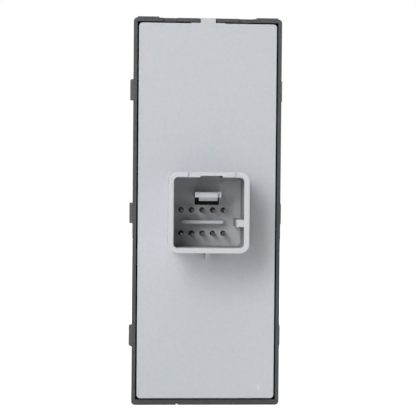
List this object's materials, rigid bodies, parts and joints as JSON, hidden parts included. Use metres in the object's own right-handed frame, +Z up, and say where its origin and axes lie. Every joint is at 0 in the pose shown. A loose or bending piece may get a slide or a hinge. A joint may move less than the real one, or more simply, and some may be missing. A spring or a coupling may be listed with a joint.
{
  "type": "power window switch",
  "caption": "Narrow rectangular window switch module: dark bezel with rockers and a lockout button, light grey base with a square pin socket.",
  "frame": {"origin": "middle of the flat bottom end of the bezel", "axes": "+Z up along the length, -Y out of the rear where the socket is, +Y out of the front where the rockers are, +X to the right as seen from the rear"},
  "size_m": [0.0376, 0.0326, 0.094],
  "materials": {
    "bezel_plastic": "fine grain, dark grey",
    "base_plastic": "smooth moulded, light grey",
    "carrier_plastic": "moulded, black",
    "board_laminate": "green solder mask",
    "copper": "rolled strip",
    "header_plastic": "moulded, black",
    "pin_metal": "plated",
    "chip_plastic": "moulded, black",
    "chip_ceramic": "ceramic",
    "lamp_resin": "resin",
    "rocker_plastic": "fine grain, near black",
    "slider_plastic": "natural acetal",
    "spring_steel": "drawn wire"
  },
  "bodies": {
    "housing": {"bezel": "bezel_plastic", "base_housing": "base_plastic", "switch_carrier": "carrier_plastic", "circuit_board": "board_laminate", "contact_tracks": "copper", "pin_header": "header_plastic", "connector_pins": "pin_metal", "controller_chip": "chip_plastic", "chip_resistors": "chip_ceramic", "backlight_leds": "lamp_resin", "spring_front_left_upper": "spring_steel", "spring_front_left_lower": "spring_steel", "spring_front_right_upper": "spring_steel", "spring_front_right_lower": "spring_steel", "spring_rear_left_upper": "spring_steel", "spring_rear_left_lower": "spring_steel", "spring_rear_right_upper": "spring_steel", "spring_rear_right_lower": "spring_steel", "lock_spring": "spring_steel", "lock_switch_body": "header_plastic"},
    "rocker_front_left": {"rocker_front_left": "rocker_plastic"},
    "slider_front_left": {"slider_front_left": "slider_plastic", "wiper_front_left": "copper"},
    "rocker_front_right": {"rocker_front_right": "rocker_plastic"},
    "slider_front_right": {"slider_front_right": "slider_plastic", "wiper_front_right": "copper"},
    "rocker_rear_left": {"rocker_rear_left": "rocker_plastic"},
    "slider_rear_left": {"slider_rear_left": "slider_plastic", "wiper_rear_left": "copper"},
    "rocker_rear_right": {"rocker_rear_right": "rocker_plastic"},
    "slider_rear_right": {"slider_rear_right": "slider_plastic", "wiper_rear_right": "copper"},
    "lock": {"lock_button": "rocker_plastic", "lock_plunger": "slider_plastic"}
  },
  "joints": [
    {"name": "tilt_front_left", "type": "hinge", "parent": "housing", "child": "rocker_front_left", "pos_m": [0.0083, 0.0053, 0.0541], "axis": [1, 0, 0], "range_deg": [-8, 8], "stiffness_Nm_per_rad": 0.15},
    {"name": "slide_front_left", "type": "slide", "parent": "housing", "child": "slider_front_left", "axis": [0, 0, 1], "range_m": [-0.00102, 0.00102], "deforming": ["spring_front_left_upper", "spring_front_left_lower"]},
    {"name": "tilt_front_right", "type": "hinge", "parent": "housing", "child": "rocker_front_right", "pos_m": [-0.0083, 0.0053, 0.0541], "axis": [1, 0, 0], "range_deg": [-8, 8], "stiffness_Nm_per_rad": 0.15},
    {"name": "slide_front_right", "type": "slide", "parent": "housing", "child": "slider_front_right", "axis": [0, 0, 1], "range_m": [-0.00102, 0.00102], "deforming": ["spring_front_right_upper", "spring_front_right_lower"]},
    {"name": "tilt_rear_left", "type": "hinge", "parent": "housing", "child": "rocker_rear_left", "pos_m": [0.0083, 0.0053, 0.0205], "axis": [1, 0, 0], "range_deg": [-8, 8], "stiffness_Nm_per_rad": 0.15},
    {"name": "slide_rear_left", "type": "slide", "parent": "housing", "child": "slider_rear_left", "axis": [0, 0, 1], "range_m": [-0.00102, 0.00102], "deforming": ["spring_rear_left_upper", "spring_rear_left_lower"]},
    {"name": "tilt_rear_right", "type": "hinge", "parent": "housing", "child": "rocker_rear_right", "pos_m": [-0.0083, 0.0053, 0.0205], "axis": [1, 0, 0], "range_deg": [-8, 8], "stiffness_Nm_per_rad": 0.15},
    {"name": "slide_rear_right", "type": "slide", "parent": "housing", "child": "slider_rear_right", "axis": [0, 0, 1], "range_m": [-0.00102, 0.00102], "deforming": ["spring_rear_right_upper", "spring_rear_right_lower"]},
    {"name": "lock_press", "type": "slide", "parent": "housing", "child": "lock", "axis": [0, -1, 0], "range_m": [0, 0.0015], "stiffness_N_per_m": 300, "springref_m": -0.001, "deforming": ["lock_spring"]}
  ],
  "couplings": [
    {"joint": "slide_front_left", "follows": "tilt_front_left", "m_per_rad": -0.0072},
    {"joint": "slide_front_right", "follows": "tilt_front_right", "m_per_rad": -0.0072},
    {"joint": "slide_rear_left", "follows": "tilt_rear_left", "m_per_rad": -0.0072},
    {"joint": "slide_rear_right", "follows": "tilt_rear_right", "m_per_rad": -0.0072}
  ]
}
